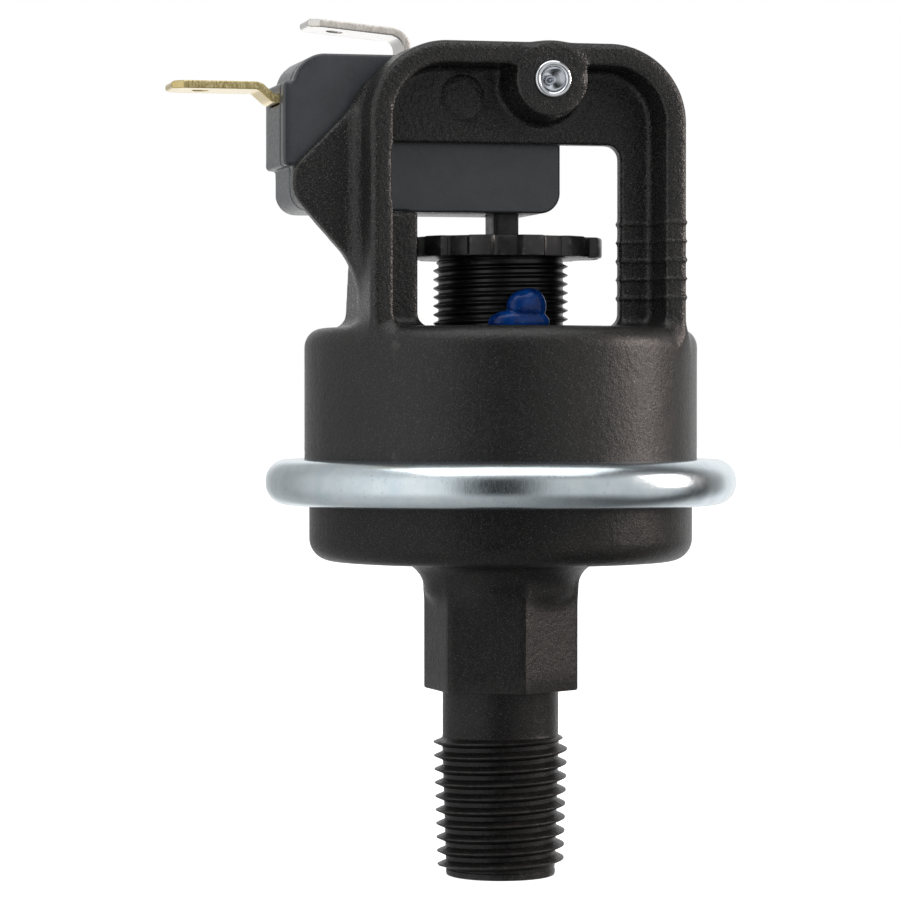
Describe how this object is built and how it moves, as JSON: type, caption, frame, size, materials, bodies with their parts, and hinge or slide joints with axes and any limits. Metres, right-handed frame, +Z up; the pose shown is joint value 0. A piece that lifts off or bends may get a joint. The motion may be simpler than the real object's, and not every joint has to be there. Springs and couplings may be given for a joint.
{
  "type": "adjustable pressure switch",
  "caption": "Adjustable diaphragm pressure switch: crimped capsule on a hex pipe nipple, with an arch holding a snap-action switch over a notched adjusting wheel.",
  "frame": {"origin": "centre of the pipe nipple's end face, where the fluid enters", "axes": "+Z up along the stem and the adjusting screw's axis; the arch, rivet and window face -Y; both quick-connect tabs point to -X"},
  "size_m": [0.0595, 0.0488, 0.0881],
  "materials": {
    "housing_plastic": "black glass-filled moulding, fine speckled grain, satin",
    "screw_plastic": "smooth black moulding, low sheen",
    "switch_plastic": "smooth blue-black moulding, satin",
    "button_plastic": "smooth black",
    "zinc_plated_steel": "bluish bright zinc plate, faintly mottled, small dents",
    "steel": "bright steel",
    "brass": "bright brass sheet with rough sheared edges",
    "tinned_metal": "bright tin or silver plate",
    "spring_copper": "thin copper-alloy spring strip",
    "contact_silver": "silver contact rivet",
    "diaphragm_rubber": "fabric-backed black rubber",
    "lacquer": "glossy deep blue dried lacquer"
  },
  "bodies": {
    "housing": {"lower_housing": "housing_plastic", "upper_housing": "housing_plastic", "crimp_ring": "zinc_plated_steel", "diaphragm": "diaphragm_rubber", "tamper_lacquer": "lacquer", "switch_case": "switch_plastic", "switch_cover": "switch_plastic", "switch_rivet": "steel", "common_terminal": "tinned_metal", "normally_open_terminal": "brass", "fixed_contact": "contact_silver", "rest_stop": "steel"},
    "seat": {"spring_seat": "steel"},
    "adjuster": {"adjusting_screw": "screw_plastic"},
    "plunger": {"piston": "screw_plastic", "range_spring": "steel"},
    "button": {"switch_button": "button_plastic"},
    "blade": {"snap_blade": "spring_copper", "snap_spring": "spring_copper", "moving_contact": "contact_silver"}
  },
  "joints": [
    {"name": "adjuster_lift", "type": "slide", "parent": "housing", "child": "seat", "axis": [0, 0, 1], "range_m": [-0.00272, 0.00181], "deforming": ["range_spring"]},
    {"name": "adjuster_turn", "type": "hinge", "parent": "seat", "child": "adjuster", "pos_m": [0, 0, 0.065], "axis": [0, 0, 1], "range_deg": [-1080, 720]},
    {"name": "piston_stroke", "type": "slide", "parent": "housing", "child": "plunger", "axis": [0, 0, 1], "range_m": [0, 0.001], "stiffness_N_per_m": 1500, "springref_m": -0.002, "deforming": ["diaphragm", "range_spring"]},
    {"name": "button_press", "type": "slide", "parent": "housing", "child": "button", "axis": [0, 0, 1], "range_m": [0, 0.001]},
    {"name": "contact_snap", "type": "hinge", "parent": "housing", "child": "blade", "pos_m": [0.003, 0, 0.07545], "axis": [0, 1, 0], "range_deg": [0, 2.75]}
  ],
  "couplings": [
    {"joint": "adjuster_turn", "follows": "adjuster_lift", "rad_per_m": 6926.3},
    {"joint": "button_press", "follows": "piston_stroke", "ratio": 1},
    {"joint": "contact_snap", "follows": "piston_stroke", "rad_per_m": 47}
  ]
}
